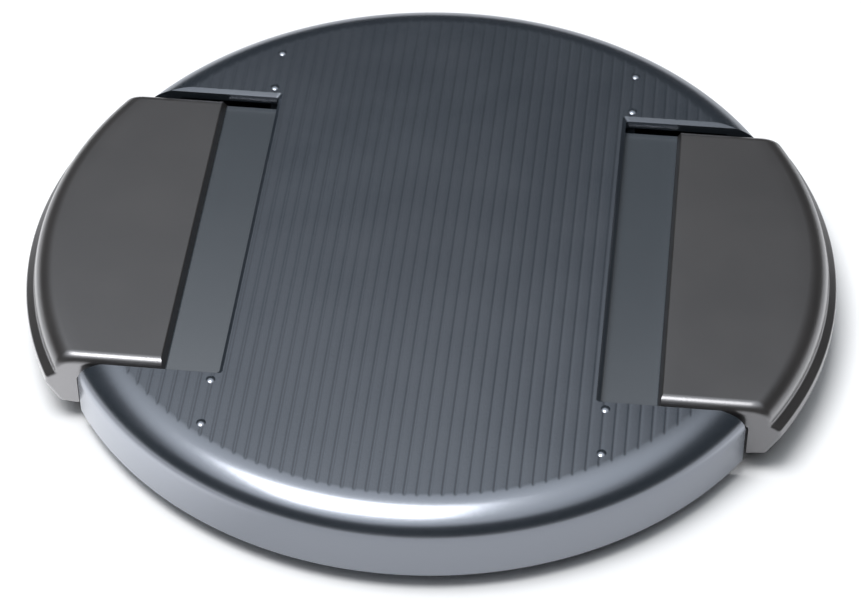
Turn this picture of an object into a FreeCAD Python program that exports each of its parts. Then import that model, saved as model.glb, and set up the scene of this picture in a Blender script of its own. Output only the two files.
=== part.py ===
"""Clip-in lens cap with two side-pinch tabs, in millimetres.

The cap lies face up. X runs through the two tabs, Y across them and away from the viewer, Z up.
The origin is the middle of the cap on the surface that it rests on.
"""

import FreeCAD, Part
import math
import os
import re

import Sketcher

doc = FreeCAD.newDocument("lens_cap")

# Driving dimensions: name, value, what it is
DIMENSIONS = [
    ("shell_radius", 30.7, "outer radius of the round shell"),
    ("face_height", 7.25, "face above the resting surface"),
    ("flange_height", 1.4, "lower edge of the skirt, which seats on the lens's ring"),
    ("rim_start", 28.77, "radius at which the rim's slope would leave the face"),
    ("rim_top_round", 4.0, "rounding of that corner"),
    ("rim_end", 5.9, "height at which the slope would meet the skirt"),
    ("rim_side_round", 1.95, "rounding of that corner"),
    ("skirt_bevel", 0.3, "bevel of the skirt's lower edge"),
    ("face_wall", 1.0, "thickness of the face"),
    ("skirt_inside", 29.15, "inner radius of the skirt"),
    ("corner_bevel", 0.8, "bevel inside, between face and skirt"),
    ("pip_x", 15.2, "moulded pips beside the slots, from the middle"),
    ("pip_near", 17.4, "pips next to the slot's ends"),
    ("pip_far", 22.0, "pips further out"),
    ("pip_radius", 0.36, "radius of a pip"),
    ("pip_height", 0.1, "height of a pip above the face"),
    ("slot_inner", 14.72, "inner edge of a tab's slot, from the middle"),
    ("slot_half", 16.4, "half the slot's length along Y"),
    ("seat_height", 3.4, "inner top face of the back plate, on which the shell's ribs stand"),
    ("spine_width", 1.2, "rib across the middle of the shell"),
    ("spine_half", 19.0, "half that rib's length"),
    ("guide_inner", 7.6, "inner end of a tab guide, along X"),
    ("guide_gap", 0.2, "play between a tab's ear and its guide"),
    ("guide_wall", 1.2, "thickness of a tab guide"),
    ("stop_face", 13.7, "face on which a released tab's ear stops"),
    ("stop_depth", 1.8, "thickness of that stop along X"),
    ("stake_radius", 0.9, "radius of a staking pin"),
    ("stake_x", 9.5, "outer staking pins, along X"),
    ("stake_y", 21.5, "outer staking pins, along Y"),
    ("spring_y", 9.0, "spring axis, from the middle along Y"),
    ("spring_z", 4.85, "spring axis, above the resting surface"),
    ("spring_radius", 1.2, "outer radius of a spring"),
    ("wire_radius", 0.15, "radius of the spring wire"),
    ("spring_turns", 3, "turns of a spring"),
    ("spring_play", 0.02, "gap at each end of a spring"),
    ("block_half_x", 1.2, "half the thickness of the shell's spring block"),
    ("block_half_y", 1.7, "half the width of a spring block"),
    ("peg_half", 0.75, "half the width of the flat peg inside each end of a spring"),
    ("peg_thick", 0.6, "thickness of that peg"),
    ("peg_length", 1.3, "length of that peg"),
    ("plate_radius", 29.05, "radius of the back plate"),
    ("plate_edge", 2.6, "upper face of the back plate's outer step"),
    ("plate_step", 28.0, "radius of that step"),
    ("plate_under", 2.2, "inner lower face of the back plate"),
    ("ring_outer", 28.2, "outer radius of the locating ring"),
    ("ring_inner", 27.0, "inner radius of the locating ring"),
    ("ring_lead", 0.3, "lead-in chamfer of the locating ring"),
    ("notch_inner", 22.3, "inner edge of the notch for a claw, along X"),
    ("notch_half", 10.0, "half that notch's width"),
    ("stake_hole", 0.95, "radius of a staking hole"),
    ("tab_half", 15.9, "half a tab's length along Y"),
    ("ear_inner", 10.6, "inner end of a tab's plate"),
    ("ear_outer", 13.65, "outer face of a tab's ears"),
    ("ear_half", 17.8, "half the length over a tab's ears"),
    ("tab_foot", 1.95, "lower edge of a tab's outer wall"),
    ("tab_under", 4.9, "underside of a tab's plate"),
    ("strip_top", 6.1, "smooth strip that slides under the face"),
    ("pad_top", 6.97, "top of a tab's pad"),
    ("pad_inner", 19.1, "foot of the pad's inner edge"),
    ("pad_slope", 0.3, "how far that edge leans outwards"),
    ("end_round", 0.85, "rounding over a pad's two ends"),
    ("wall_radius", 32.0, "outer wall of a tab above the finger groove"),
    ("wall_round", 1.8, "rounding from the pad into the outer wall"),
    ("wall_inside", 30.6, "inner radius of a tab's outer wall"),
    ("groove_top", 5.1, "where the finger groove starts in the outer wall"),
    ("lip_radius", 32.75, "lip below the finger groove"),
    ("lip_top", 4.55, "upper edge of the lip"),
    ("lip_bottom", 3.8, "lower edge of the lip"),
    ("foot_radius", 32.25, "outer wall at its lower edge"),
    ("core_top", 5.77, "top of the hollows under a pad"),
    ("core_inner", 20.4, "inner edge of those hollows"),
    ("core_outer", 25.6, "outer edge of those hollows"),
    ("core_end", 14.6, "far edge of the outer hollows"),
    ("rail_half", 0.7, "half the width of a rail under a tab's plate"),
    ("rail_foot", 3.6, "lower edge of the rails and spring seats"),
    ("seat_inner", 11.6, "face of a tab on which its springs press"),
    ("seat_depth", 1.5, "thickness of that seat"),
    ("claw_inner", 26.7, "inner radius of the claw"),
    ("claw_outer", 28.45, "outer radius of the claw between its ridges"),
    ("claw_crest", 28.93, "radius over the claw's ridges, a 58 mm filter thread's own"),
    ("claw_half", 9.0, "half the claw's width"),
    ("claw_foot", 0.1, "lower edge of the claw"),
    ("ridge_first", 0.42, "height of the claw's first ridge"),
    ("ridge_pitch", 0.75, "thread pitch of the filter ring"),
    ("ridge_half", 0.26, "half the height of a ridge's foot"),
]

sheet = doc.addObject("Spreadsheet::Sheet", "Cap")
for row, (alias, size, meaning) in enumerate(DIMENSIONS, start=1):
    sheet.set(f"A{row}", meaning)
    sheet.set(f"B{row}", str(size))
    sheet.setAlias(f"B{row}", alias)
doc.recompute()


NAMES = {alias for alias, size, meaning in DIMENSIONS}


def bound(words):
    """An expression with each dimension's name pointed at its cell on the sheet."""
    return re.sub("[a-z_]+", lambda found: "Cap." + found[0] if found[0] in NAMES else found[0], words)


def number(words):
    """The value of an expression on the sheet, in millimetres or degrees."""
    result = sheet.evalExpression(bound(words))
    return float(getattr(result, "Value", result))


def new_body(label):
    """An empty body whose label names its file."""
    body = doc.addObject("PartDesign::Body", label)
    body.Label = label
    return body


def origin_part(body, role):
    """One of a body's own origin planes or axes."""
    return next(item for item in body.Origin.OriginFeatures if item.Role == role)


def new_sketch(body, name, plane, lift=None):
    """An empty sketch on one of the body's origin planes, moved along that plane's normal by lift."""
    sketch = body.newObject("Sketcher::SketchObject", name)
    sketch.AttachmentSupport = [(origin_part(body, plane), "")]
    sketch.MapMode = "FlatFace"
    if lift:
        sketch.setExpression("AttachmentOffset.Base.z", bound(lift))
    return sketch


def pin_point(sketch, geometry, point, corner):
    """Holds a point of the sketch at a corner, given by its two expressions measured from the origin."""
    for kind, words in zip(("DistanceX", "DistanceY"), corner):
        index = sketch.addConstraint(Sketcher.Constraint(kind, -1, 1, geometry, point, number(words)))
        sketch.setExpression(f"Constraints[{index}]", bound(words))


def corner_arc(before, corner, after, radius):
    """The arc that rounds a corner between its neighbours, and whether it turns left."""
    to_before = (before - corner).normalize()
    to_after = (after - corner).normalize()
    half = to_before.getAngle(to_after) / 2
    reach = radius / math.tan(half)
    start = corner + to_before * reach
    end = corner + to_after * reach
    bisector = (to_before + to_after).normalize()
    middle = corner + bisector * (radius / math.sin(half) - radius)
    left = to_before.cross(to_after).z < 0
    return Part.Arc(start, middle, end), start, end, left


def outline(sketch, corners):
    """A closed outline of straight sides. A corner with a third expression is rounded by that radius."""
    points = [FreeCAD.Vector(number(corner[0]), number(corner[1]), 0) for corner in corners]
    count = len(corners)
    starts, ends, arcs = list(points), list(points), {}
    for index, corner in enumerate(corners):
        if len(corner) == 3:
            neighbours = points[index - 1], points[index], points[(index + 1) % count]
            arc, ends[index], starts[index], left = corner_arc(*neighbours, number(corner[2]))
            arcs[index] = (arc, left)
    first = sketch.GeometryCount
    for index in range(count):
        sketch.addGeometry(Part.LineSegment(starts[index], ends[(index + 1) % count]), False)
    for index, corner in enumerate(corners):
        side = first + index
        previous = first + (index - 1) % count
        if index not in arcs:
            sketch.addConstraint(Sketcher.Constraint("Coincident", previous, 2, side, 1))
            pin_point(sketch, side, 1, corner)
            continue
        arc, left = arcs[index]
        tip = sketch.GeometryCount
        sketch.addGeometry(Part.Point(points[index]), True)
        pin_point(sketch, tip, 1, corner[:2])
        sketch.addConstraint(Sketcher.Constraint("PointOnObject", tip, 1, previous))
        sketch.addConstraint(Sketcher.Constraint("PointOnObject", tip, 1, side))
        bend = sketch.GeometryCount
        sketch.addGeometry(arc, False)
        entry, leave = (1, 2) if left else (2, 1)
        sketch.addConstraint(Sketcher.Constraint("Tangent", previous, 2, bend, entry))
        sketch.addConstraint(Sketcher.Constraint("Tangent", bend, leave, side, 1))
        radius = sketch.addConstraint(Sketcher.Constraint("Radius", bend, number(corner[2])))
        sketch.setExpression(f"Constraints[{radius}]", bound(corner[2]))


def box_outline(sketch, low, high):
    """A rectangle between two opposite corners."""
    (x0, y0), (x1, y1) = low, high
    outline(sketch, [(x0, y0), (x1, y0), (x1, y1), (x0, y1)])


def circle(sketch, centre, radius):
    """A circle whose centre is a pair of expressions and whose radius is one."""
    middle = FreeCAD.Vector(number(centre[0]), number(centre[1]), 0)
    index = sketch.GeometryCount
    sketch.addGeometry(Part.Circle(middle, FreeCAD.Vector(0, 0, 1), number(radius)), False)
    pin_point(sketch, index, 3, centre)
    constraint = sketch.addConstraint(Sketcher.Constraint("Radius", index, number(radius)))
    sketch.setExpression(f"Constraints[{constraint}]", bound(radius))


def finish(body, feature):
    """Makes a feature the body's tip and works it out."""
    body.Tip = feature
    doc.recompute()
    if "Invalid" in feature.State or feature.Shape.isNull() or not feature.Shape.Solids:
        raise ValueError(f"{body.Label}: {feature.Name} failed")
    return feature


def revolve(body, name, sketch, kind="Revolution", angle=None):
    """Turns a sketch about the vertical axis, all round or through an angle centred on the sketch."""
    feature = body.newObject("PartDesign::" + kind, name)
    feature.Profile = sketch
    feature.ReferenceAxis = (sketch, ["V_Axis"])
    if angle:
        feature.Midplane = True
        feature.setExpression("Angle", bound(angle))
    else:
        feature.Angle = 360
    return finish(body, feature)


def pad(body, name, sketch, length, down=False):
    """Raises a sketch along its normal, or lowers it."""
    feature = body.newObject("PartDesign::Pad", name)
    feature.Profile = sketch
    feature.setExpression("Length", bound(length))
    feature.Reversed = down
    return finish(body, feature)


def cut(body, name, sketch, length=None, reverse=False):
    """Cuts a sketch through the whole body both ways, or to one side by a length, and fails if nothing was cut."""
    before = body.Shape.Volume
    feature = body.newObject("PartDesign::Pocket", name)
    feature.Profile = sketch
    if length:
        feature.setExpression("Length", bound(length))
        feature.Reversed = reverse
    else:
        feature.Type = "ThroughAll"
        feature.SideType = "Symmetric"
    finish(body, feature)
    if body.Shape.Volume > before - 1e-3:
        raise ValueError(f"{body.Label}: {name} cut nothing")
    return feature


def round_edges(body, name, edges, size):
    """Rounds the named edges of the body as it stands."""
    last = body.Tip
    feature = body.newObject("PartDesign::Fillet", name)
    feature.Base = (last, edges)
    feature.setExpression("Radius", bound(size))
    return finish(body, feature)


def signed(words, sign):
    """An expression, or its negative."""
    return words if sign > 0 else f"0 - ( {words} )"


QUARTERS = [(1, 1), (-1, 1), (-1, -1), (1, -1)]


# Front shell

def shell_dish(body):
    """The dish in one turn: a flat face, a rim that slopes and rounds over into the skirt, and an even wall."""
    profile = new_sketch(body, "dish_profile", "XZ_Plane")
    outline(profile, [
        ("0", "face_height"),
        ("rim_start", "face_height", "rim_top_round"),
        ("shell_radius", "rim_end", "rim_side_round"),
        ("shell_radius", "flange_height + skirt_bevel"),
        ("shell_radius - skirt_bevel", "flange_height"),
        ("skirt_inside", "flange_height"),
        ("skirt_inside", "face_height - face_wall - corner_bevel"),
        ("skirt_inside - corner_bevel", "face_height - face_wall"),
        ("0", "face_height - face_wall"),
    ])
    revolve(body, "dish", profile)


def shell_slots(body):
    """The two slots for the tabs, cut out through face, rim and skirt."""
    sketch = new_sketch(body, "slot_outlines", "XY_Plane")
    for side in (1, -1):
        box_outline(
            sketch,
            (signed("slot_inner", side), "0 - slot_half"),
            (signed("shell_radius + 1", side), "slot_half"),
        )
    cut(body, "slots", sketch)


def shell_pips(body):
    """Tiny eight-sided pips on the face, two beyond each end of a slot's inner edge."""
    sketch = new_sketch(body, "pip_outlines", "XY_Plane", "face_height - face_wall / 2")
    ring = [(f"pip_radius * cos({45 * step} deg)", f"pip_radius * sin({45 * step} deg)") for step in range(8)]
    for side, end in QUARTERS:
        for place in ("pip_near", "pip_far"):
            outline(sketch, [(f"{signed('pip_x', side)} + {x}", f"{signed(place, end)} + {y}") for x, y in ring])
    pad(body, "pips", sketch, "face_wall / 2 + pip_height")


def shell_ribs(body):
    """Ribs under the face: a spine, a block for the springs, and a guide with a stop at each end of each tab."""
    sketch = new_sketch(body, "rib_outlines", "XY_Plane", "seat_height")
    block_low = "spring_y - block_half_y"
    block_high = "spring_y + block_half_y"
    half = "spine_width / 2"
    right_side = [
        (half, "0 - spine_half"),
        (half, f"0 - ( {block_high} )"),
        ("block_half_x", f"0 - ( {block_high} )"),
        ("block_half_x", f"0 - ( {block_low} )"),
        (half, f"0 - ( {block_low} )"),
        (half, block_low),
        ("block_half_x", block_low),
        ("block_half_x", block_high),
        (half, block_high),
        (half, "spine_half"),
    ]
    left_side = [(f"0 - ( {x} )", y) for x, y in reversed(right_side)]
    outline(sketch, right_side + left_side)
    guide = "ear_half + guide_gap"
    for side, end in QUARTERS:
        corners = [
            ("guide_inner", guide),
            ("stop_face", guide),
            ("stop_face", "slot_half + guide_gap / 2"),
            ("stop_face + stop_depth", "slot_half + guide_gap / 2"),
            ("stop_face + stop_depth", f"{guide} + guide_wall"),
            ("guide_inner", f"{guide} + guide_wall"),
        ]
        outline(sketch, [(signed(x, side), signed(y, end)) for x, y in corners])
    pad(body, "ribs", sketch, "face_height - face_wall / 2 - seat_height")


def peg_sections(sketch):
    """The sections of the two flat pegs, one on each spring axis."""
    for end in (1, -1):
        low = (f"{signed('spring_y', end)} - peg_half", "spring_z - peg_thick / 2")
        high = (f"{signed('spring_y', end)} + peg_half", "spring_z + peg_thick / 2")
        box_outline(sketch, low, high)


def shell_pegs(body):
    """A flat peg on each side of each spring block, which holds the spring's fixed end."""
    sketch = new_sketch(body, "peg_outlines", "YZ_Plane")
    peg_sections(sketch)
    pegs = pad(body, "pegs", sketch, "2 * (block_half_x + peg_length)")
    pegs.SideType = "Symmetric"
    doc.recompute()


def stake_places():
    """Middles of the staking pins, as pairs of expressions."""
    return [(signed("stake_x", side), signed("stake_y", end)) for side, end in QUARTERS]


def shell_stakes(body):
    """Pins that pass through the back plate. Their ends are formed into heads at assembly, which scene.py shows."""
    pins = new_sketch(body, "stake_outlines", "XY_Plane", "plate_under")
    for place in stake_places():
        circle(pins, place, "stake_radius")
    pad(body, "stakes", pins, "face_height - face_wall / 2 - plate_under")


def front_shell():
    """The front moulding: dish, slots and pips, and the ribs, pegs and pins inside."""
    body = new_body("front_shell")
    shell_dish(body)
    shell_slots(body)
    shell_pips(body)
    shell_ribs(body)
    shell_pegs(body)
    shell_stakes(body)
    return body


# Back plate

def back_plate():
    """The retaining plate with the ring that centres the cap in the filter thread, open where the claws pass."""
    body = new_body("back_plate")
    profile = new_sketch(body, "plate_profile", "XZ_Plane")
    outline(profile, [
        ("0", "seat_height"),
        ("plate_step", "seat_height"),
        ("plate_step", "plate_edge"),
        ("plate_radius", "plate_edge"),
        ("plate_radius", "flange_height"),
        ("ring_outer", "flange_height"),
        ("ring_outer", "ring_lead"),
        ("ring_outer - ring_lead", "0"),
        ("ring_inner", "0"),
        ("ring_inner", "plate_under"),
        ("0", "plate_under"),
    ])
    revolve(body, "plate", profile)
    notches = new_sketch(body, "notch_outlines", "XY_Plane")
    for side in (1, -1):
        box_outline(
            notches,
            (signed("notch_inner", side), "0 - notch_half"),
            (signed("plate_radius + 1", side), "notch_half"),
        )
    cut(body, "claw_notches", notches)
    for side, name in ((1, "right_clearance"), (-1, "left_clearance")):
        section = new_sketch(body, name + "_section", "XZ_Plane")
        box_outline(
            section,
            (signed("ring_outer", side), "flange_height - 1"),
            (signed("plate_radius + 1", side), "plate_edge + 1"),
        )
        revolve(body, name, section, "Groove", "2 * asin((slot_half + guide_gap / 2) / ring_outer)")
    holes = new_sketch(body, "stake_holes", "XY_Plane")
    for place in stake_places():
        circle(holes, place, "stake_hole")
    cut(body, "holes", holes)
    return body


# Tabs

def tab_block(body):
    """The tab's whole plan at full height, notched for its springs, with both ends rounded over."""
    sketch = new_sketch(body, "plan", "XY_Plane", "tab_foot")
    upper = [
        ("ear_inner", "spring_y - block_half_y"),
        ("seat_inner", "spring_y - block_half_y"),
        ("seat_inner", "spring_y + block_half_y"),
        ("ear_inner", "spring_y + block_half_y"),
        ("ear_inner", "ear_half"),
        ("ear_outer", "ear_half"),
        ("ear_outer", "tab_half"),
        ("lip_radius + 1", "tab_half"),
    ]
    lower = [(x, f"0 - ( {y} )") for x, y in reversed(upper)]
    outline(sketch, upper + lower)
    pad(body, "block", sketch, "pad_top - tab_foot")
    edges = []
    for index, edge in enumerate(body.Shape.Edges, start=1):
        middle = edge.BoundBox.Center
        level = abs(middle.z - number("pad_top")) < 1e-3
        at_end = abs(abs(middle.y) - number("tab_half")) < 1e-3
        if level and at_end:
            edges.append(f"Edge{index}")
    round_edges(body, "pad_ends", edges, "end_round")


def tab_outer_wall(body):
    """The outer wall's section, turned about the cap's axis: round top, finger groove, lip and leaning foot."""
    section = new_sketch(body, "wall_section", "XZ_Plane")
    outline(section, [
        ("wall_radius - wall_round - 1", "pad_top"),
        ("wall_radius", "pad_top", "wall_round"),
        ("wall_radius", "groove_top"),
        ("lip_radius", "lip_top"),
        ("lip_radius", "lip_bottom"),
        ("foot_radius", "tab_foot"),
        ("foot_radius", "tab_foot - 1"),
        ("lip_radius + 9", "tab_foot - 1"),
        ("lip_radius + 9", "pad_top + 1"),
        ("wall_radius - wall_round - 1", "pad_top + 1"),
    ])
    revolve(body, "wall", section, "Groove")
    under = new_sketch(body, "under_section", "XZ_Plane")
    box_outline(under, ("0", "tab_foot - 1"), ("wall_inside", "tab_under"))
    revolve(body, "under", under, "Groove")


def tab_top(body):
    """The low strip beside the pad and the pad's leaning inner edge."""
    strip = new_sketch(body, "strip_section", "XZ_Plane")
    outline(strip, [
        ("0", "strip_top"),
        ("pad_inner", "strip_top"),
        ("pad_inner + pad_slope", "pad_top"),
        ("pad_inner + pad_slope", "pad_top + 1"),
        ("0", "pad_top + 1"),
    ])
    cut(body, "strip", strip)


def tab_underside(body):
    """Hollows under the pad that keep its wall even, then the rails with their spring seats and pegs."""
    cores = new_sketch(body, "core_outlines", "XY_Plane", "tab_under")
    rail_low = "spring_y - rail_half - guide_gap"
    rail_high = "spring_y + rail_half + guide_gap"
    box_outline(cores, ("core_inner", f"0 - ( {rail_low} )"), ("core_outer", rail_low))
    for end in (1, -1):
        box_outline(
            cores,
            ("core_inner", signed(rail_high, end)),
            ("core_outer", signed("core_end", end)),
        )
    cut(body, "cores", cores, "core_top - tab_under", reverse=True)
    rails = new_sketch(body, "rail_outlines", "XY_Plane", "rail_foot")
    for end in (1, -1):
        corners = [
            ("seat_inner", "spring_y - block_half_y"),
            ("seat_inner + seat_depth", "spring_y - block_half_y"),
            ("seat_inner + seat_depth", "spring_y - rail_half"),
            ("claw_inner", "spring_y - rail_half"),
            ("claw_inner", "spring_y + rail_half"),
            ("seat_inner + seat_depth", "spring_y + rail_half"),
            ("seat_inner + seat_depth", "spring_y + block_half_y"),
            ("seat_inner", "spring_y + block_half_y"),
        ]
        outline(rails, [(x, signed(y, end)) for x, y in corners])
    pad(body, "rails", rails, "tab_under + guide_gap - rail_foot")
    pegs = new_sketch(body, "peg_outlines", "YZ_Plane", "seat_inner - peg_length")
    peg_sections(pegs)
    pad(body, "pegs", pegs, "peg_length + seat_depth / 2")


def tab_claw(body):
    """The claw that reaches down behind the flange, with two ridges that catch the filter thread."""
    section = new_sketch(body, "claw_section", "XZ_Plane")
    ridges = []
    for turn in (0, 1):
        height = f"ridge_first + {turn} * ridge_pitch"
        ridges += [
            ("claw_outer", f"{height} - ridge_half"),
            ("claw_crest", height),
            ("claw_outer", f"{height} + ridge_half"),
        ]
    outline(
        section,
        [
            ("claw_inner", "tab_under + guide_gap"),
            ("claw_inner", "claw_foot + guide_gap"),
            ("claw_inner + guide_gap", "claw_foot"),
            ("claw_outer - guide_gap", "claw_foot"),
        ]
        + ridges
        + [("claw_outer", "tab_under + guide_gap")],
    )
    revolve(body, "claw", section, "Revolution", "2 * asin(claw_half / claw_outer)")


def tab(label, turn):
    """One tab, modelled on the right and turned about the vertical axis to its side."""
    body = new_body(label)
    tab_block(body)
    tab_outer_wall(body)
    tab_top(body)
    tab_underside(body)
    tab_claw(body)
    body.Placement = FreeCAD.Placement(FreeCAD.Vector(0, 0, 0), FreeCAD.Rotation(FreeCAD.Vector(0, 0, 1), turn))
    return body


# Springs

def spring(label, side, end):
    """A compression spring from the shell's block to the tab's seat, of four-sided wire so that it stays light."""
    body = new_body(label)
    section = new_sketch(body, "wire_section", "XY_Plane")
    middle = "block_half_x + spring_play + wire_radius"
    coil = "spring_radius - wire_radius"
    corners = []
    for step in range(4):
        across = f"{coil} + wire_radius * cos({90 * step + 45} deg)"
        corners.append((across, f"wire_radius * sin({90 * step + 45} deg)"))
    outline(section, corners)
    coil_feature = body.newObject("PartDesign::AdditiveHelix", "coil")
    coil_feature.Profile = section
    coil_feature.ReferenceAxis = (section, ["V_Axis"])
    coil_feature.Mode = "height-turns-angle"
    span = "seat_inner - block_half_x - 2 * spring_play - 2 * wire_radius"
    coil_feature.setExpression("Height", bound(span))
    coil_feature.setExpression("Turns", bound("spring_turns"))
    finish(body, coil_feature)
    along = FreeCAD.Rotation(FreeCAD.Vector(0, 0, 1), -90 * side)
    body.Placement = FreeCAD.Placement(FreeCAD.Vector(0, 0, 0), along)
    body.setExpression("Placement.Base.x", bound(signed(middle, side)))
    body.setExpression("Placement.Base.y", bound(signed("spring_y", end)))
    body.setExpression("Placement.Base.z", bound("spring_z"))
    doc.recompute()
    return body


bodies = [
    front_shell(),
    back_plate(),
    tab("right_tab", 0),
    tab("left_tab", 180),
    spring("spring_right_near", 1, -1),
    spring("spring_right_far", 1, 1),
    spring("spring_left_near", -1, -1),
    spring("spring_left_far", -1, 1),
]
doc.recompute()

for item in doc.Objects:
    if {"Invalid", "Error"} & set(item.State):
        raise ValueError(f"{item.Label} failed: {item.State}")

os.makedirs("parts", exist_ok=True)
for body in bodies:
    shape = body.Shape
    if shape.isNull() or not shape.isValid() or len(shape.Solids) != 1:
        raise ValueError(f"{body.Label} is not one valid solid")
    shape.exportStep(f"parts/{body.Label}.step")
    box = shape.BoundBox
    print(
        f"{body.Label}: {shape.Volume:.1f} mm3, {len(shape.Faces)} faces, "
        f"x {box.XMin:.2f} to {box.XMax:.2f}, y {box.YMin:.2f} to {box.YMax:.2f}, z {box.ZMin:.2f} to {box.ZMax:.2f}"
    )
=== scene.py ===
# %% [markdown]
# # A clip-in lens cap with side-pinch tabs
# The cap lies face up on a white table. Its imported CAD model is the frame: it says where every piece is.
# This lesson keeps that frame and gives each visible piece a finer, smoother skin and a moulded-plastic finish.

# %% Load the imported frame
import math

import bmesh
import bpy
import numpy as np
from mathutils import Matrix, Vector


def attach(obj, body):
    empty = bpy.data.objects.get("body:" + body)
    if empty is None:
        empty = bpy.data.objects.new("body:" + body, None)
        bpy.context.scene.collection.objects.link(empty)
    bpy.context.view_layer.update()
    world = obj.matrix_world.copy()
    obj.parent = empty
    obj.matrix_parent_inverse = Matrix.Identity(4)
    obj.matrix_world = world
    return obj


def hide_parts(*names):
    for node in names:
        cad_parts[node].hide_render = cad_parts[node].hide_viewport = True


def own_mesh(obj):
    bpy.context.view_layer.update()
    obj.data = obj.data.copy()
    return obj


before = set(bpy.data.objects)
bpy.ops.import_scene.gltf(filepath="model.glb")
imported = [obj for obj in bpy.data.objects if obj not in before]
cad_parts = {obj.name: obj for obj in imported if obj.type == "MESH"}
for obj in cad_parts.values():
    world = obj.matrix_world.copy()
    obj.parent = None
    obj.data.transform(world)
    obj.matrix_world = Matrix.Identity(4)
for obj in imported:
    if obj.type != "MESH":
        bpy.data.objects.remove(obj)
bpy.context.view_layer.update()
MM = 0.001
print("nodes:", sorted(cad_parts))

# %% [markdown]
# ## Sizes
# The pieces below follow the CAD model, so its sizes are repeated here by name, in millimetres. Z is 0 on the
# table, X runs from the left tab to the right one, and Y runs along the grooves, away from the camera.

# %% Sizes of the shell
FACE, FACE_UNDER = 7.25, 6.25              # heights of the face and of its underside
SHELL_RADIUS, SKIRT_INSIDE = 30.7, 29.15   # outer and inner radius of the skirt
FLANGE = 1.4                               # lower edge of the skirt
INSIDE_BEVEL = 0.8                         # bevel inside, between face and skirt
RIM_START, RIM_TOP_ROUND = 28.77, 4.0      # where the rim's slope leaves the face, and how that corner is rounded
RIM_END, RIM_SIDE_ROUND = 5.9, 1.95        # height at which the slope meets the skirt, and that corner's rounding
SLOT_INNER, SLOT_HALF = 14.72, 16.4        # a tab's slot: its inner edge, and half its length along Y
SLOT_CORNER, SLOT_BEVEL = 0.3, 0.3         # rounding of its inner corners, and bevel of its edge on the face
GROOVE_PITCH, GROOVE_WIDTH, GROOVE_DEPTH = 0.945, 0.42, 0.018
PIP_X, PIP_NEAR, PIP_FAR = 15.2, 17.4, 22.0
PIP_RADIUS, PIP_HEIGHT = 0.42, 0.1

# %% Sizes around the springs
SPRING_Y, SPRING_Z = 9.0, 4.85             # axes of the springs, which lie along X
SPRING_PLAY = 0.02                         # gap at each end of a spring
BLOCK_FACE, SEAT_FACE = 1.2, 11.6          # what a spring stands on: the shell's block and the tab's seat
SEAT_HALF = 1.7                            # half the width of both
SEAT_LOW, SEAT_HIGH = SPRING_Y - SEAT_HALF, SPRING_Y + SEAT_HALF
PEG_HALF, PEG_HALF_THICK, PEG_LENGTH = 0.75, 0.3, 1.3
print("a spring is", round(SEAT_FACE - BLOCK_FACE - 2 * SPRING_PLAY, 2), "mm long")

# %% [markdown]
# ## Camera
# The camera stands where the photograph was taken from: a long lens, 44 degrees above the table and 6 degrees to
# the right. It aims a few pixels beside the cap's middle, which places the cap in the frame without any lens shift.

# %% Camera at the photograph's place
WIDTH_PX, FOCAL_PX = 861, 3059.1
AIM_DOWN_PX, AIM_LEFT_PX = 8.8, 0.9
DISTANCE = 250.41
azimuth, elevation, roll = math.radians(6.241), math.radians(44.135), math.radians(-0.215)
level = math.cos(elevation)
back = Vector((math.sin(azimuth) * level, -math.cos(azimuth) * level, math.sin(elevation)))
level_right = Vector((0, 0, 1)).cross(back).normalized()
level_up = back.cross(level_right)
right = level_right * math.cos(roll) + level_up * math.sin(roll)
up = level_up * math.cos(roll) - level_right * math.sin(roll)
middle = Vector((0, 0, FLANGE))
stand = middle + back * DISTANCE
aim = middle - (up * AIM_DOWN_PX + right * AIM_LEFT_PX) * (DISTANCE / FOCAL_PX)

lens = bpy.data.cameras.new("camera")
lens.sensor_width = 36
lens.lens = FOCAL_PX / WIDTH_PX * lens.sensor_width
lens.clip_start = 0.01
camera = bpy.data.objects.new("camera", lens)
bpy.context.scene.collection.objects.link(camera)
look = (stand - aim).normalized()
side = up.cross(look).normalized()
turn = Matrix((side, look.cross(side), look)).transposed().to_4x4()
camera.matrix_world = Matrix.Translation(stand * MM) @ turn
bpy.context.scene.camera = camera
print("lens", round(lens.lens, 1), "mm at", tuple(round(v, 1) for v in stand), "mm")

# %% [markdown]
# ## Shader maths as Python
# A finish is easier to read as arithmetic than as boxes and wires. This small class wraps a socket, and each
# operator on it adds the Math node that does the same.


# %% Shader maths
class Socket:
    """An output of a material's nodes. Operators on it add Math nodes."""

    def __init__(self, sheet, output):
        self.sheet, self.output = sheet, output

    def math(self, operation, *values):
        return self.sheet.node("ShaderNodeMath", {"operation": operation}, dict(enumerate(values)))

    def __add__(self, other):
        return self.math("ADD", self, other)

    def __sub__(self, other):
        return self.math("SUBTRACT", self, other)

    def __rsub__(self, other):
        return self.math("SUBTRACT", other, self)

    def __mul__(self, other):
        return self.math("MULTIPLY", self, other)

    __radd__, __rmul__ = __add__, __mul__

    def __abs__(self):
        return self.math("ABSOLUTE", self)

    def at_most(self, other):
        return self.math("MINIMUM", self, other)

    def at_least(self, other):
        return self.math("MAXIMUM", self, other)


# %% [markdown]
# A sheet stands for one material's node tree. All other nodes come from its one method, which takes a node's
# type, its settings and what goes into its sockets. Two kinds are used so often that they get a name.


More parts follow.
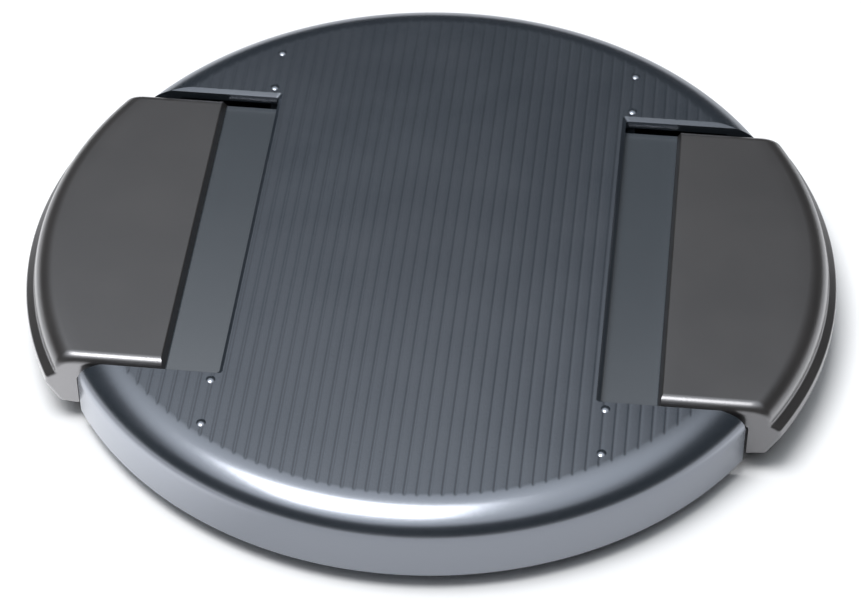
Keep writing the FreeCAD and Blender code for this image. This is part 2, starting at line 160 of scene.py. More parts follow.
# %% Sheet of nodes
class Sheet:
    """The node tree of one material or world, emptied and ready for new nodes."""

    def __init__(self, owner):
        owner.use_nodes = True
        self.tree = owner.node_tree
        self.tree.nodes.clear()

    def node(self, kind, settings=None, inputs=None, output=0):
        """Adds a node, applies its settings, fills its sockets by number or name, and gives one output."""
        node = self.tree.nodes.new(kind)
        for name, value in (settings or {}).items():
            setattr(node, name, value)
        for name, value in (inputs or {}).items():
            if isinstance(value, Socket):
                self.tree.links.new(value.output, node.inputs[name])
            else:
                node.inputs[name].default_value = value
        return Socket(self, node.outputs[output]) if len(node.outputs) else None

    def ramp(self, value, low, high, result_low=0.0, result_high=1.0):
        """A smooth step: result_low up to low, result_high from high on."""
        inputs = {0: value, 1: low, 2: high, 3: result_low, 4: result_high}
        return self.node("ShaderNodeMapRange", {"interpolation_type": "SMOOTHSTEP"}, inputs)

    def mix(self, factor, a, b):
        """A colour between a and b."""
        return self.node("ShaderNodeMix", {"data_type": "RGBA"}, {0: factor, 6: a, 7: b}, output=2)


# %% [markdown]
# ## Finishes
# All mouldings are black plastic. What tells them apart in the photograph is their surface: the shell is satin and
# a little blue, the pads have a finer, warmer matt grain, and the strips beside them are smooth, with a glossy
# skin. A mould leaves an even, very fine grain, so the height comes from two sizes of noise, and a third, broad
# one makes the gloss uneven. A picture of such a surface would blur close up, and noise doesn't.


# %% Moulded plastic
def rgba(r, g, b):
    return (r, g, b, 1.0)


def moulded_plastic(name, dark, pale, rough, grain_height, ior, tint, strip=None):
    """Black moulded plastic: its colour drifts between dark and pale, its gloss about rough, over a fine grain.
    A strip, given as (half width in metres, colour, roughness), is a smoother, coated band on both sides of x = 0."""
    material = bpy.data.materials.new(name)
    sheet = Sheet(material)
    place = sheet.node("ShaderNodeTexCoord", output="Object")
    broad = sheet.node("ShaderNodeTexNoise", {}, {"Vector": place, "Scale": 160.0, "Detail": 3.0})
    fine = sheet.node("ShaderNodeTexNoise", {}, {"Vector": place, "Scale": 2600.0, "Detail": 2.0})
    grain = sheet.node("ShaderNodeTexNoise", {}, {"Vector": place, "Scale": 7500.0, "Detail": 1.0})
    drift = sheet.ramp(broad * 0.7 + fine * 0.3, 0.35, 0.65)
    height = fine * 0.5 + grain
    colour = sheet.mix(drift, dark, pale)
    coat = 0.0
    if strip:
        half_width, strip_colour, strip_rough = strip
        edge = 0.03 * MM
        x = sheet.node("ShaderNodeSeparateXYZ", {}, {0: place}, output="X")
        outside = sheet.ramp(abs(x), half_width - edge, half_width + edge)
        colour = sheet.mix(outside, strip_colour, colour)
        rough = strip_rough + outside * (rough - strip_rough)
        coat = 1 - outside
    smoothest, spread = -0.007, 0.015
    shine = {
        "Base Color": colour,
        "Roughness": drift * spread + (rough + smoothest),
        "IOR": ior,
        "Specular IOR Level": 1.0,
        "Specular Tint": tint,
        "Coat Weight": coat,
        "Coat Roughness": 0.12,
        "Coat IOR": 1.8,
        "Normal": sheet.node("ShaderNodeBump", {}, {"Distance": grain_height * MM, "Height": height}),
    }
    surface = sheet.node("ShaderNodeBsdfPrincipled", {}, shine)
    sheet.node("ShaderNodeOutputMaterial", {}, {"Surface": surface})
    return material


# %% Three plastics
shell_finish = moulded_plastic(
    "satin_black_shell", dark=rgba(0.018, 0.024, 0.031), pale=rgba(0.021, 0.027, 0.034),
    rough=0.24, grain_height=0.0015, ior=2.1, tint=rgba(0.86, 0.90, 1.0),
)
tab_finish = moulded_plastic(
    "matt_black_tab", dark=rgba(0.026, 0.0245, 0.024), pale=rgba(0.030, 0.028, 0.027),
    rough=0.31, grain_height=0.002, ior=1.82, tint=rgba(0.98, 0.97, 1.0),
    strip=(19.12 * MM, rgba(0.054, 0.064, 0.075), 0.16),
)
plate_finish = moulded_plastic(
    "matt_black_plate", dark=rgba(0.030, 0.031, 0.034), pale=rgba(0.038, 0.039, 0.042),
    rough=0.48, grain_height=0.006, ior=1.6, tint=rgba(0.95, 0.97, 1.0),
)
print("plastics:", shell_finish.name, tab_finish.name, plate_finish.name)

# %% [markdown]
# The springs are bright drawn wire. Drawing leaves fine lines, so the roughness changes in thin streaks, which come
# from noise that is stretched along X.


# %% Spring wire
def spring_wire():
    """Bright steel wire with a streaked gloss."""
    material = bpy.data.materials.new("bright_wire")
    sheet = Sheet(material)
    place = sheet.node("ShaderNodeTexCoord", output="Object")
    stretched = sheet.node("ShaderNodeMapping", {}, {"Vector": place, "Scale": (300.0, 4000.0, 4000.0)})
    streak = sheet.node("ShaderNodeTexNoise", {}, {"Vector": stretched, "Scale": 1.0, "Detail": 2.0})
    shine = {
        "Base Color": sheet.mix(streak, rgba(0.50, 0.50, 0.52), rgba(0.66, 0.66, 0.67)),
        "Metallic": 1.0,
        "Roughness": 0.22 + streak * 0.2,
    }
    surface = sheet.node("ShaderNodeBsdfPrincipled", {}, shine)
    sheet.node("ShaderNodeOutputMaterial", {}, {"Surface": surface})
    return material


wire_finish = spring_wire()
print("wire:", wire_finish.name)

# %% [markdown]
# ## Grids
# Every new piece is a grid of points that numpy works out at once, so what is left is to number the faces between
# them. A part is its points and its blocks of faces, each block an array with one face a row.


# %% Faces of a grid
def grid_faces(rows, columns, wrap_rows=False, wrap_columns=False):
    """Four-sided faces between neighbouring points of a grid whose points are numbered row by row."""
    row = np.arange(rows if wrap_rows else rows - 1)[:, None]
    column = np.arange(columns if wrap_columns else columns - 1)[None, :]
    next_row, next_column = (row + 1) % rows, (column + 1) % columns
    corners = [row * columns + column, row * columns + next_column]
    corners += [next_row * columns + next_column, next_row * columns + column]
    return np.stack(np.broadcast_arrays(*corners), -1).reshape(-1, 4)


def tube_faces(rows, columns):
    """Faces of a closed tube: rows of points that run round it, and a flat face over its first and last row."""
    first = np.arange(columns)
    ends = np.stack([first[::-1], first + (rows - 1) * columns])
    return [grid_faces(rows, columns, wrap_columns=True), ends]


# %% [markdown]
# A mould has no truly sharp corner, so most sections are drawn as corners with a radius, as a designer would give
# them, and the arcs are worked out from that.


# %% Rounded sections
def rounded(corners, steps=6):
    """A closed section in which each corner (a, b, radius) becomes an arc that touches both its sides."""
    points = np.array([corner[:2] for corner in corners], float)
    radii = [corner[2] if len(corner) > 2 else 0.0 for corner in corners]
    result = []
    for index, radius in enumerate(radii):
        corner = points[index]
        if radius == 0:
            result.append(corner[None])
            continue
        before = points[index - 1] - corner
        after = points[(index + 1) % len(points)] - corner
        before, after = before / np.linalg.norm(before), after / np.linalg.norm(after)
        half = math.acos(np.clip(before @ after, -1, 1)) / 2
        centre = corner + (before + after) / np.linalg.norm(before + after) * radius / math.sin(half)
        start = corner + before * radius / math.tan(half) - centre
        sense = math.copysign(1, before[1] * after[0] - before[0] * after[1])
        angles = np.linspace(0, math.pi - 2 * half, steps + 1) * sense
        turned_a = start[0] * np.cos(angles) - start[1] * np.sin(angles)
        turned_b = start[0] * np.sin(angles) + start[1] * np.cos(angles)
        result.append(centre + np.stack([turned_a, turned_b], -1))
    return np.concatenate(result)


# %% [markdown]
# Three steps make an object: parts become one mesh, a tool may be cut out of it, and its shading is smoothed
# everywhere but at real edges. The mesh keeps the place, so the object itself stays at the origin, as a CAD node's
# does.

# %% Mesh, cut and shading
SHARP = 35.0         # edges that turn by more degrees than this stay sharp


def smooth(piece):
    """Smooth shading that still breaks at sharp edges."""
    piece.data.shade_smooth()
    piece.data.set_sharp_from_angle(angle=math.radians(SHARP))


def make_piece(name, parts, finish):
    """One object from parts, each (points in millimetres, blocks of faces): its doubles are merged, edges that
    bear no face are dropped, and faces are turned outwards."""
    points, faces, count = [], [], 0
    for part_points, blocks in parts:
        points.append(np.asarray(part_points, float).reshape(-1, 3))
        for block in blocks:
            faces += (np.asarray(block) + count).tolist()
        count += len(points[-1])
    mesh = bpy.data.meshes.new(name)
    mesh.from_pydata((np.concatenate(points) * MM).tolist(), [], faces)
    work = bmesh.new()
    work.from_mesh(mesh)
    bmesh.ops.remove_doubles(work, verts=work.verts, dist=1e-7)
    bmesh.ops.delete(work, geom=[edge for edge in work.edges if edge.is_wire], context="EDGES")
    bmesh.ops.recalc_face_normals(work, faces=work.faces)
    work.to_mesh(mesh)
    work.free()
    mesh.materials.append(finish)
    piece = bpy.data.objects.new(name, mesh)
    bpy.context.scene.collection.objects.link(piece)
    smooth(piece)
    return piece


def carve(piece, tool):
    """Cuts the tool's shape out of the piece, and removes the tool."""
    modifier = piece.modifiers.new("carve", "BOOLEAN")
    modifier.operation, modifier.solver, modifier.object = "DIFFERENCE", "EXACT", tool
    evaluated = piece.evaluated_get(bpy.context.evaluated_depsgraph_get())
    carved = bpy.data.meshes.new_from_object(evaluated)
    piece.modifiers.clear()
    piece.data = carved
    bpy.data.objects.remove(tool)
    smooth(piece)


# %% [markdown]
# The small shapes of a moulding are of two kinds: straight-sided ribs and blocks, which are an outline at two
# heights, and turned posts and arcs, which are a section carried round the vertical axis.


# %% Ribs, blocks and turned shapes
def prism(outline, low, high):
    """A straight-sided block: the outline, as (x, y) pairs, at two heights, closed at both ends."""
    outline = np.asarray(outline, float)
    levels = [np.column_stack([outline, np.full(len(outline), height)]) for height in (low, high)]
    return np.stack(levels), tube_faces(2, len(outline))


def box(low, high):
    """A plain block between two corners (x, y, z)."""
    (x0, y0, z0), (x1, y1, z1) = low, high
    return prism([(x0, y0), (x1, y0), (x1, y1), (x0, y1)], z0, z1)


def turned(section, angles, closed=True):
    """A section of (radius, height) pairs at each angle, in degrees: x = radius cos angle, y = radius sin angle."""
    section, angles = np.asarray(section, float), np.radians(angles)
    radius, height = section[None, :, 0], section[None, :, 1]
    x, y = radius * np.cos(angles)[:, None], radius * np.sin(angles)[:, None]
    points = np.stack([x, y, np.broadcast_to(height, x.shape)], -1)
    if closed:
        return points, [grid_faces(len(angles), len(section), wrap_rows=True, wrap_columns=True)]
    return points, tube_faces(len(angles), len(section))


def whole_turn(count):
    """This many angles evenly round a circle, in degrees."""
    return np.linspace(0, 360, count, endpoint=False)


# %% [markdown]
# ## Front shell
# The shell is one moulding: a face with fine straight grooves, a rounded rim and a skirt. The grooves run straight
# out onto the rounding and fade there, as when a straight cutter passes over a domed edge. A bump in the material
# could fake them, but not how they end on the rim, so they are real. The skin is one grid: its columns follow the
# grooves, ten to a groove, and its rows run from the underside, round the near skirt, over the face, round the far
# skirt and back. On the face the height is the lower of the rim's curve and the groove's section.

# %% Heights over the face
RIM_SLOPE = math.atan2(FACE - RIM_END, SHELL_RADIUS - RIM_START)
FLAT_RADIUS = RIM_START - RIM_TOP_ROUND * math.tan(RIM_SLOPE / 2)     # where the rounding starts
print("the face is flat up to radius", round(FLAT_RADIUS, 2))


def rim_height(radius):
    """Height of the face and the first part of its rounding: flat to FLAT_RADIUS, then a circle."""
    reach = np.clip(radius - FLAT_RADIUS, 0, RIM_TOP_ROUND)
    return FACE - RIM_TOP_ROUND + np.sqrt(RIM_TOP_ROUND ** 2 - reach ** 2)


def groove_height(x):
    """Height of the groove's section at x: a cosine hollow that would rise past the face at its brinks."""
    from_middle = np.abs(x - GROOVE_PITCH * np.round(x / GROOVE_PITCH)) / GROOVE_WIDTH
    hollow = np.cos(math.pi * np.minimum(from_middle, 0.5)) ** 2
    return FACE - GROOVE_DEPTH * hollow + np.maximum(from_middle - 0.5, 0)


# %% Columns and rings of the grid
INNER_ROWS, OUTER_ROWS = 27.5, 28.6        # radii between which the grooves end
WIDEST = 26.5                              # half the grid's width: the slots cut away what lies outside it
SECTION_START = 20.0                       # where the rim's section is cut off, well inside the rounding


def column_places():
    """x of the grid's columns: the groove's middle, its flanks, its brinks and the land between."""
    in_groove = GROOVE_WIDTH * np.array([0.0, 0.125, 0.25, 0.375, 0.5])
    offsets = np.concatenate([-in_groove[:0:-1], in_groove, [GROOVE_PITCH / 2]])
    middles = GROOVE_PITCH * np.arange(-30, 31)
    places = np.unique(np.round((middles[:, None] + offsets[None, :]).ravel(), 4))
    places = places[np.abs(places) < WIDEST]
    return np.concatenate([[-WIDEST], places, [WIDEST]])


def skirt_rings():
    """(radius, height) of the rings from the end of the face, down the skirt and up inside it."""
    corners = [
        (SECTION_START, FACE), (RIM_START, FACE, RIM_TOP_ROUND), (SHELL_RADIUS, RIM_END, RIM_SIDE_ROUND),
        (SHELL_RADIUS, FLANGE, 0.3), (SKIRT_INSIDE, FLANGE, 0.1), (SKIRT_INSIDE, FACE_UNDER - INSIDE_BEVEL),
        (SKIRT_INSIDE - INSIDE_BEVEL, FACE_UNDER), (SECTION_START, FACE_UNDER),
    ]
    section = rounded(corners, steps=16)
    start = int(np.argmax(section[:, 0] > OUTER_ROWS + 0.05))
    return section[start:-1]


# %% Skin of the shell
def shell_skin():
    """The closed skin, row by row, with a point for every column x in each row.
    A ring of radius r has x = r cos a and y = r sin a, and each column keeps its angle a = arccos(x / OUTER_ROWS).
    A row near the face's edge is the arc y = sqrt(r^2 - x^2). A row across the face is a share of the last arc."""
    x = column_places()
    angle = np.arccos(x / OUTER_ROWS)
    rings = skirt_rings()
    arcs = [np.sqrt(radius ** 2 - x ** 2) for radius in np.linspace(OUTER_ROWS, INNER_ROWS, 14)]
    across = np.linspace(-1, 1, 14)[1:-1, None] * arcs[-1][None, :]
    y = np.concatenate([-np.array(arcs), across, arcs[::-1]])
    face_x = np.broadcast_to(x, y.shape)
    face = np.stack([face_x, y, np.minimum(rim_height(np.hypot(face_x, y)), groove_height(face_x))], -1)
    near = [np.stack([r * np.cos(angle), -r * np.sin(angle), np.full(len(x), z)], -1) for r, z in rings[::-1]]
    far = [np.stack([r * np.cos(angle), r * np.sin(angle), np.full(len(x), z)], -1) for r, z in rings]
    points = np.concatenate([near, face, far])
    rows, columns = points.shape[:2]
    blocks = [grid_faces(rows, columns, wrap_rows=True)]
    for hub, column in enumerate((0, columns - 1), start=rows * columns):
        edge = np.arange(rows) * columns + column
        blocks.append(np.column_stack([np.full(rows, hub), edge, np.roll(edge, -1)]))
    hubs = points[:, [0, -1]].mean(axis=0)
    return np.concatenate([points.reshape(-1, 3), hubs]), blocks


# %% [markdown]
# The slots are cut out of the skin, because a cut gives their upright walls and crisp ends in one go, wherever the
# grid's own points lie.


# %% Slots and the whole shell
def slot_tool(sign):
    """What is cut for one tab: an upright block with round inner corners, which flares above the face by as much
    as it rises and so leaves a bevel there."""
    below, above, beyond = -1.0, 2.0, 40.0
    levels = [(below, 0.0), (FACE - SLOT_BEVEL, 0.0), (FACE + above, above + SLOT_BEVEL)]
    rings = []
    for height, flare in levels:
        inner, half = SLOT_INNER - flare, SLOT_HALF + flare
        corners = [(inner, -half, SLOT_CORNER), (beyond, -half), (beyond, half), (inner, half, SLOT_CORNER)]
        section = rounded(corners)
        rings.append(np.column_stack([section[:, 0] * sign, section[:, 1], np.full(len(section), height)]))
    return np.stack(rings), tube_faces(len(levels), len(rings[0]))


shell = make_piece("shell", [shell_skin()], shell_finish)
for sign, name in ((1, "right_slot"), (-1, "left_slot")):
    carve(shell, make_piece(name, [slot_tool(sign)], shell_finish))
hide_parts("front_shell")
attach(shell, "cap")
print("shell:", len(shell.data.polygons), "faces")

# %% [markdown]
# The shell also has small things moulded on: eight pips on the face, the ribs that guide the tabs inside, and the
# staking pins whose heads hold the back plate. Each is a short block or a turned shape. They sink a little into the
# shell, as one moulding's parts do, so there is no gap to see.


# %% Pips on the face
def moved(part, x, y):
    """A part carried sideways to (x, y)."""
    points, faces = part
    return np.asarray(points) + np.array([x, y, 0.0]), faces


def dome(radius, low, top, slope):
    """A short round post that ends in a spherical cap, which meets the post at this slope in degrees."""
    sphere = radius / math.sin(math.radians(slope))
    lean = np.radians(np.linspace(slope, 0, 8))
    section = [(0.0, low), (radius, low)]
    section += [(sphere * math.sin(t), top - sphere * (1 - math.cos(t))) for t in lean]
    return turned(section, whole_turn(24))


def mirrored_places(places):
    """Every place with both signs of x and of y."""
    return [(x * a, y * b) for x, y in places for a in (1, -1) for b in (1, -1)]


pip = dome(PIP_RADIUS, FACE - 0.2, FACE + PIP_HEIGHT, slope=35.0)
pip_places = mirrored_places([(PIP_X, PIP_NEAR), (PIP_X, PIP_FAR)])
pips = make_piece("face_pips", [moved(pip, x, y) for x, y in pip_places], shell_finish)
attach(pips, "cap")
print("pips:", len(pip_places))

# %% Ribs and stakes
RIB_FOOT, RIB_TOP = 3.4, FACE_UNDER + 0.3          # the ribs stand on the back plate
SPINE_HALF, SPINE_END = 0.6, 19.0                  # the rib across the middle
STAKE_X, STAKE_Y, STAKE_RADIUS = 9.5, 21.5, 0.9

right_side = [
    (SPINE_HALF, -SPINE_END), (SPINE_HALF, -SEAT_HIGH), (BLOCK_FACE, -SEAT_HIGH), (BLOCK_FACE, -SEAT_LOW),
    (SPINE_HALF, -SEAT_LOW), (SPINE_HALF, SEAT_LOW), (BLOCK_FACE, SEAT_LOW), (BLOCK_FACE, SEAT_HIGH),
    (SPINE_HALF, SEAT_HIGH), (SPINE_HALF, SPINE_END),
]
guide = [(7.6, 18.0), (13.7, 18.0), (13.7, 16.5), (15.5, 16.5), (15.5, 19.2), (7.6, 19.2)]
stake = [
    (0.0, 1.75), (1.25, 1.75), (1.5, 1.83), (1.6, 2.0), (1.6, 2.2), (STAKE_RADIUS, 2.2), (STAKE_RADIUS, 6.5),
    (0.0, 6.5),
]
rib_parts = [prism(right_side + [(-x, y) for x, y in right_side[::-1]], RIB_FOOT, RIB_TOP)]
for sign_x, sign_y in mirrored_places([(1, 1)]):
    rib_parts.append(prism([(x * sign_x, y * sign_y) for x, y in guide], RIB_FOOT, RIB_TOP))
    peg_x = sorted([sign_x * BLOCK_FACE / 2, sign_x * (BLOCK_FACE + PEG_LENGTH)])
    peg_y = SPRING_Y * sign_y
    low = (peg_x[0], peg_y - PEG_HALF, SPRING_Z - PEG_HALF_THICK)
    rib_parts.append(box(low, (peg_x[1], peg_y + PEG_HALF, SPRING_Z + PEG_HALF_THICK)))
    rib_parts.append(moved(turned(stake, whole_turn(32)), STAKE_X * sign_x, STAKE_Y * sign_y))
ribs = make_piece("shell_ribs", rib_parts, shell_finish)
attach(ribs, "cap")
print("ribs and stakes:", len(rib_parts), "parts")

# %% [markdown]
# ## Tabs
# A tab is one moulding too. Its pad stands higher than the smooth strip that slides under the face, and its outer
# wall is round, with a groove for the fingertip over a lip. One closed section holds all of this. Carried along Y it
# gives the straight inner edge, and bent to the cap's circle it gives the outer wall, so each point of the section
# has a share of bend: 0 at the strip, 1 at the wall, and between them on the flat pad, where nothing shows it.

# %% Sizes of a tab
TAB_HALF = 15.9                                    # half its length along Y
STRIP_INNER, STRIP_TOP = 13.0, 6.1
PAD_FOOT, PAD_EDGE, PAD_TOP = 19.1, 19.4, 6.97     # the pad's inner edge, which leans outwards, and its height
WALL_RADIUS, WALL_ROUND, WALL_INSIDE = 32.0, 1.65, 30.6
FINGER_TOP = 5.1                                   # where the finger groove starts in the wall
LIP_RADIUS, LIP_TOP, LIP_BOTTOM = 32.75, 4.55, 3.8
FOOT_RADIUS, TAB_FOOT = 31.85, 1.95                # the wall's lower edge
TAB_UNDER = 4.9                                    # underside of the pad's plate

BEND_START, BEND_END = 19.8, WALL_RADIUS - WALL_ROUND


# %% Section of a tab
def tab_section():
    """Points (across, height, bend) of the closed section, from the strip outwards and back, and their normals."""
    corners = [
        (STRIP_INNER, STRIP_TOP), (PAD_FOOT, STRIP_TOP, 0.1), (PAD_EDGE, PAD_TOP, 0.16),
        (WALL_RADIUS, PAD_TOP, WALL_ROUND), (WALL_RADIUS, FINGER_TOP, 0.4), (LIP_RADIUS, LIP_TOP, 0.3),
        (LIP_RADIUS, LIP_BOTTOM, 0.3), (FOOT_RADIUS, TAB_FOOT, 0.3), (WALL_INSIDE, TAB_FOOT, 0.1),
        (WALL_INSIDE, TAB_UNDER, 0.3), (STRIP_INNER, TAB_UNDER),
    ]
    section = rounded(corners, steps=12)
    pad_across = np.linspace(BEND_START, BEND_END, 9)[1:-1]
    flat = np.column_stack([pad_across, np.full_like(pad_across, PAD_TOP)])
    after_slope = int(np.argmax((section[:, 0] > BEND_START) & (section[:, 1] > PAD_TOP - 1e-6)))
    section = np.insert(section, after_slope, flat, axis=0)
    across, height = section.T
    upper_bend = (across - BEND_START) / (BEND_END - BEND_START)
    lower_bend = (across - STRIP_INNER) / (WALL_INSIDE - STRIP_INNER)
    bend = np.clip(np.where(height > TAB_UNDER + 1e-3, upper_bend, lower_bend), 0, 1)
    bend[across > BEND_END] = 1.0
    tangent = np.roll(section, -1, axis=0) - np.roll(section, 1, axis=0)
    tangent /= np.linalg.norm(tangent, axis=1)[:, None]
    return across, height, bend, np.column_stack([-tangent[:, 1], tangent[:, 0]])


# %% [markdown]
# Both ends of a tab are rounded over, widely on the pad, less on the wall, and hardly at all where it slides. A
# Bevel modifier would give one width all round, so each point of the section has a rounding radius of its own.

# %% Body of a tab
END_ROUND, WALL_END_ROUND = 0.85, 0.22             # rounding of the ends over the pad and on the wall
STRIP_END_ROUND, INSIDE_END_ROUND = 0.05, 0.02     # the same on the strip and inside
WALL_TOP = 5.31                                    # height over which the wall's rounding grows into the pad's


def end_drop(y, radius):
    """How far a rounding of this radius has come in from the surface at y, near the tab's ends."""
    over = np.clip(np.abs(y) - (TAB_HALF - radius), 0, radius)
    return radius - np.sqrt(radius ** 2 - over ** 2)


def tab_body():
    """The section carried along y: x is across on the strip and sqrt(across^2 - y^2) on the wall, mixed by bend.
    Near both ends each point moves in along its normal by its own end_drop, which rounds the ends over."""
    across, height, bend, normal = tab_section()
    steps = np.sin(np.linspace(0, math.pi / 2, 15))
    y = np.concatenate([np.linspace(-15.0, 15.0, 61), TAB_HALF - END_ROUND * (1 - steps)])
    y = np.unique(np.round(np.concatenate([y, -y]), 5))[:, None]
    facing_up = np.clip(normal[:, 1], 0, 1) ** 2
    on_strip = across < PAD_FOOT + 0.6
    inside = (across < WALL_INSIDE + 0.2) & (height < TAB_UNDER + 0.2)
    over_wall = WALL_END_ROUND + (END_ROUND - WALL_END_ROUND) * facing_up
    choices = [STRIP_END_ROUND, INSIDE_END_ROUND, over_wall]
    radius = np.select([on_strip, inside, height > WALL_TOP], choices, WALL_END_ROUND)
    drop = end_drop(y, radius[None, :])
    reach = across - normal[:, 0] * drop
    z = np.minimum(height - normal[:, 1] * drop, PAD_TOP - end_drop(y, END_ROUND))
    curved = np.sqrt(np.maximum(reach ** 2 - y ** 2, 0))
    x = reach * (1 - bend) + curved * bend
    points = np.stack([x, np.broadcast_to(y, x.shape), z], -1)
    return points, tube_faces(len(y), len(across))


# %% [markdown]
# Under the pad are the hollows that keep the moulding's wall even, two rails that carry the spring seats, and the
# claw with the two ridges that catch a lens's filter thread. They show from below and when the tab is pressed.

# %% Hollows and underside of a tab
HOLLOW_INNER, HOLLOW_OUTER, HOLLOW_TOP = 20.4, 25.6, 5.77
EAR_INNER, EAR_OUTER, EAR_END = 10.6, 13.65, 17.8
RAIL_FOOT, RAIL_HALF, RAIL_END = 3.6, 0.7, 26.8
CLAW_INNER, CLAW_OUTER, CLAW_CREST, CLAW_HALF = 26.7, 28.45, 28.93, 9.0
CLAW_FOOT, RIDGE_FIRST, RIDGE_PITCH, RIDGE_HALF = 0.1, 0.42, 0.75, 0.26
OVERLAP = 0.1                                      # how far one block sinks into the next


def tab_hollows():
    """The three hollows under the pad."""
    spans = [(-8.1, 8.1), (-14.6, -9.9), (9.9, 14.6)]
    return [box((HOLLOW_INNER, low, 4.0), (HOLLOW_OUTER, high, HOLLOW_TOP)) for low, high in spans]


def claw():
    """The claw: a section with two thread ridges, turned about the cap's axis."""
    top = TAB_UNDER + 0.2
    corners = [(CLAW_INNER, top), (CLAW_INNER, 0.3, 0.1), (26.9, CLAW_FOOT, 0.1), (28.25, CLAW_FOOT, 0.1)]
    for ridge in (RIDGE_FIRST, RIDGE_FIRST + RIDGE_PITCH):
        corners += [(CLAW_OUTER, ridge - RIDGE_HALF, 0.03), (CLAW_CREST, ridge, 0.06)]
        corners += [(CLAW_OUTER, ridge + RIDGE_HALF, 0.03)]
    corners += [(CLAW_OUTER, top)]
    reach = math.degrees(math.asin(CLAW_HALF / CLAW_OUTER))
    return turned(rounded(corners, steps=3), np.linspace(-reach, reach, 33), closed=False)


def tab_trim():
    """Ears, spring seats with their pegs, rails and the claw."""
    ears = [(EAR_INNER, -SEAT_LOW), (SEAT_FACE, -SEAT_LOW), (SEAT_FACE, -SEAT_HIGH), (EAR_INNER, -SEAT_HIGH)]
    ears += [(EAR_INNER, -EAR_END), (EAR_OUTER, -EAR_END)]
    ears += [(x, -y) for x, y in ears[::-1]]
    parts = [prism(ears, TAB_UNDER + 0.002, STRIP_TOP - 0.002)]
    top = TAB_UNDER + OVERLAP
    for y in (SPRING_Y, -SPRING_Y):
        parts.append(box((SEAT_FACE, y - SEAT_HALF, RAIL_FOOT), (STRIP_INNER + OVERLAP, y + SEAT_HALF, top)))
        parts.append(box((STRIP_INNER, y - RAIL_HALF, RAIL_FOOT), (RAIL_END, y + RAIL_HALF, top)))
        low = (SEAT_FACE - PEG_LENGTH, y - PEG_HALF, SPRING_Z - PEG_HALF_THICK)
        parts.append(box(low, (12.3, y + PEG_HALF, SPRING_Z + PEG_HALF_THICK)))
    return parts + [claw()]


# %% Both tabs
def sharpen_ends(piece):
    """Sharpens the outline of the two flat end faces, so that the roundings beside them don't shade them."""
    mesh = piece.data
    for face in mesh.polygons:
        if abs(face.center.y) > TAB_HALF * MM - 1e-6:
            for loop in face.loop_indices:
                mesh.edges[mesh.loops[loop].edge_index].use_edge_sharp = True


def make_tab(name, node, half_turn):
    """A whole tab. The left one is the right one turned half round about the cap's axis."""
    piece = make_piece(name, [tab_body()], tab_finish)
    carve(piece, make_piece("hollows", tab_hollows(), tab_finish))
    sharpen_ends(piece)
    trim = make_piece(name + "_trim", tab_trim(), tab_finish)
    if half_turn:
        for part in (piece, trim):
            part.data.transform(Matrix.Rotation(math.pi, 4, "Z"))
    for part in (piece, trim):
        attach(part, node)
    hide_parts(node)
    print(name, len(piece.data.polygons) + len(trim.data.polygons), "faces")


make_tab("tab_right", "right_tab", False)
make_tab("tab_left", "left_tab", True)

# %% [markdown]
# ## Springs
# Each spring is a round wire wound into a coil whose end turns lie close, so that it stands square. The centre line
# is a helix whose step is small at both ends, and a small circle carried along it makes the wire.


# %% Springs
def coil(start, end, y, turns=6.5, radius=1.05, wire=0.15):
    """A compression spring along X, from start to end. Its centre line has y = radius cos a and z = radius sin a
    while x advances by two wire radii in the first and last turn, and evenly between. A circle follows it."""
    share = np.linspace(0, 1, int(turns * 30))
    one_turn = 1.0 / turns
    sense = math.copysign(1, end - start)
    first, last, close_step = start + sense * wire, end - sense * wire, sense * 2 * wire
    between = np.clip((share - one_turn) / (1 - 2 * one_turn), 0, 1)
    closed = np.minimum(share / one_turn, 1) + np.maximum((share - 1 + one_turn) / one_turn, 0)
    x = first + closed * close_step + between * (last - first - 2 * close_step)
    angle = 2 * math.pi * turns * share
    centre = np.column_stack([x, y + radius * np.cos(angle), SPRING_Z + radius * np.sin(angle)])
    outward = np.column_stack([np.zeros_like(x), np.cos(angle), np.sin(angle)])
    tangent = np.gradient(centre, axis=0)
    tangent /= np.linalg.norm(tangent, axis=1)[:, None]
    sideways = np.cross(tangent, outward)
    around = np.linspace(0, 2 * math.pi, 10, endpoint=False)[None, :, None]
    ring = outward[:, None] * np.cos(around) + sideways[:, None] * np.sin(around)
    points = centre[:, None] + wire * ring
    return points, tube_faces(*points.shape[:2])


for side_name, sign, joint in (("left", -1, "left_press"), ("right", 1, "right_press")):
    fixed, moving = sign * (BLOCK_FACE + SPRING_PLAY), sign * (SEAT_FACE - SPRING_PLAY)
    for end_name, y in (("near", -SPRING_Y), ("far", SPRING_Y)):
        piece = make_piece(f"coil_{side_name}_{end_name}", [coil(fixed, moving, y)], wire_finish)
        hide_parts(f"spring_{side_name}_{end_name}")
        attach(piece, "cap")
        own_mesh(piece)
        print(piece.name, len(piece.data.polygons), "faces")

# %% [markdown]
# ## Back plate
# The back plate's CAD shape is right as it is, so it stays and only gets its finish, through its material slots.

# %% Back plate
plate_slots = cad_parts["back_plate"].material_slots
for material_slot in plate_slots:
    material_slot.material = plate_finish
print("back plate:", [material_slot.material.name for material_slot in plate_slots])

# %% [markdown]
# ## Table and light
# The cap lies on a white sheet. Near the cap the sheet takes real light and shadow. Far from it, where the lamp
# fades, it is shown plain white, so that the background stays even from every side. In the photograph the sheet
# beside the cap is brighter than the white that a picture can show, which the glossy walls of the tabs reflect. That
# extra light is given to reflections only, so it neither lights the cap from afar nor whitens its shadow.

# %% White table
TABLE_REACH = 3000.0


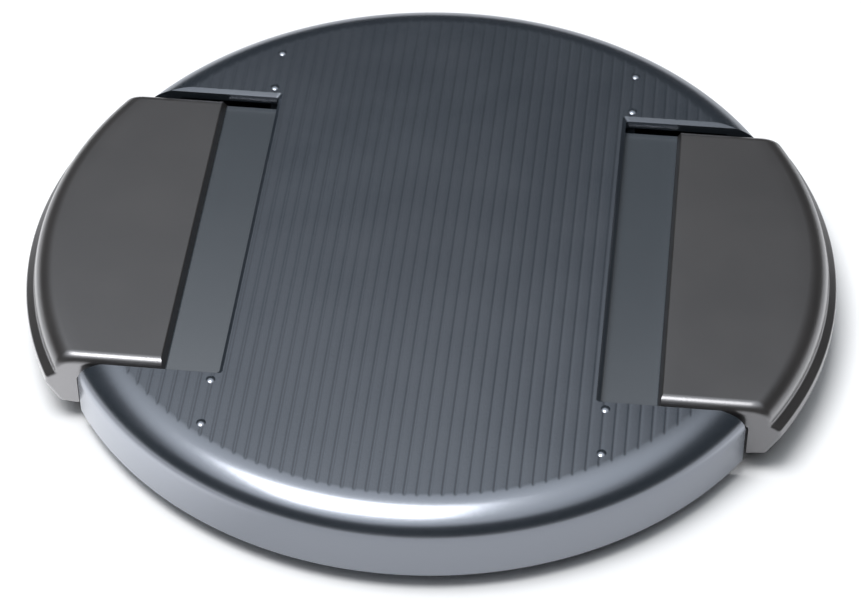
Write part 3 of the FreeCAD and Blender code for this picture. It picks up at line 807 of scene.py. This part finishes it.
def table_finish():
    """White sheet: lit near the cap, plain white further out to the camera and in reflections and transmission,
    and in reflections also brighter close beside the cap, left and right."""
    material = bpy.data.materials.new("white_sheet")
    sheet = Sheet(material)
    place = sheet.node("ShaderNodeTexCoord", output="Object")
    away = sheet.node("ShaderNodeVectorMath", {"operation": "LENGTH"}, {0: place}, output="Value")
    x = sheet.node("ShaderNodeSeparateXYZ", {}, {0: place}, output="X")
    seen = sheet.node("ShaderNodeLightPath", output="Is Camera Ray")
    mirrored = sheet.node("ShaderNodeLightPath", output="Is Glossy Ray")
    through = sheet.node("ShaderNodeLightPath", output="Is Transmission Ray")
    plain = sheet.ramp(away, 0.07, 0.16) * (seen + mirrored + through).at_most(1.0)
    lit = sheet.node("ShaderNodeBsdfDiffuse", {}, {"Color": rgba(0.93, 0.93, 0.935)})
    white = sheet.node("ShaderNodeEmission", {}, {"Color": rgba(1, 1, 1), "Strength": 1.0})
    surface = sheet.node("ShaderNodeMixShader", {}, {0: plain, 1: lit, 2: white})
    beside = sheet.ramp(x, -0.030, -0.012, 1.2, 0.0) + sheet.ramp(x, 0.033, 0.037, 0.0, 0.8)
    beside = beside * sheet.ramp(away, 0.038, 0.050, 1.0, 0.0) * mirrored
    extra = sheet.node("ShaderNodeEmission", {}, {"Color": beside, "Strength": 1.0})
    surface = sheet.node("ShaderNodeAddShader", {}, {0: surface, 1: extra})
    sheet.node("ShaderNodeOutputMaterial", {}, {"Surface": surface})
    return material


edge = TABLE_REACH * np.array([-1, 1])
table_points = np.stack([*np.meshgrid(edge, edge), np.zeros((2, 2))], -1)
table = make_piece("table", [(table_points, [grid_faces(2, 2)])], table_finish())
print("table:", 2 * TABLE_REACH * MM, "m wide")

# %% [markdown]
# One large soft lamp hangs overhead, a little to the left and towards the camera. Its reflection is the bright
# crescent on the near rim. The room is a dark world with a pale ceiling that reaches a little lower on the left. The
# ceiling gives the face its soft gradient, and the dark below it gives the band under the crescent.


# %% Lamp and room
def soft_lamp(name, centre, size, radiance):
    """A rectangular lamp facing down, by its centre and size in metres and how bright its face is."""
    data = bpy.data.lights.new(name, "AREA")
    data.shape, data.size, data.size_y = "RECTANGLE", size[0], size[1]
    data.energy = radiance * math.pi * size[0] * size[1]
    lamp = bpy.data.objects.new(name, data)
    lamp.location = centre
    bpy.context.scene.collection.objects.link(lamp)
    print(name, round(data.energy, 2), "W")


soft_lamp("key_lamp", centre=(-0.1225, -0.096, 0.62), size=(0.325, 0.29), radiance=11.0)

world = bpy.data.worlds.new("room")
bpy.context.scene.world = world
room = Sheet(world)
direction = room.node("ShaderNodeTexCoord", output="Generated")
rise = room.node("ShaderNodeSeparateXYZ", {}, {0: direction}, output="Z")
aside = room.node("ShaderNodeSeparateXYZ", {}, {0: direction}, output="X")
slanted = rise - aside.at_least(-0.2).at_most(0.2) * 0.25
ceiling = room.ramp(slanted, 0.69, 0.85, 0.03, 1.25)
glow = room.node("ShaderNodeBackground", {}, {"Color": rgba(0.90, 0.95, 1.0), "Strength": ceiling})
room.node("ShaderNodeOutputWorld", {}, {"Surface": glow})

bpy.context.scene.view_settings.view_transform = "Standard"
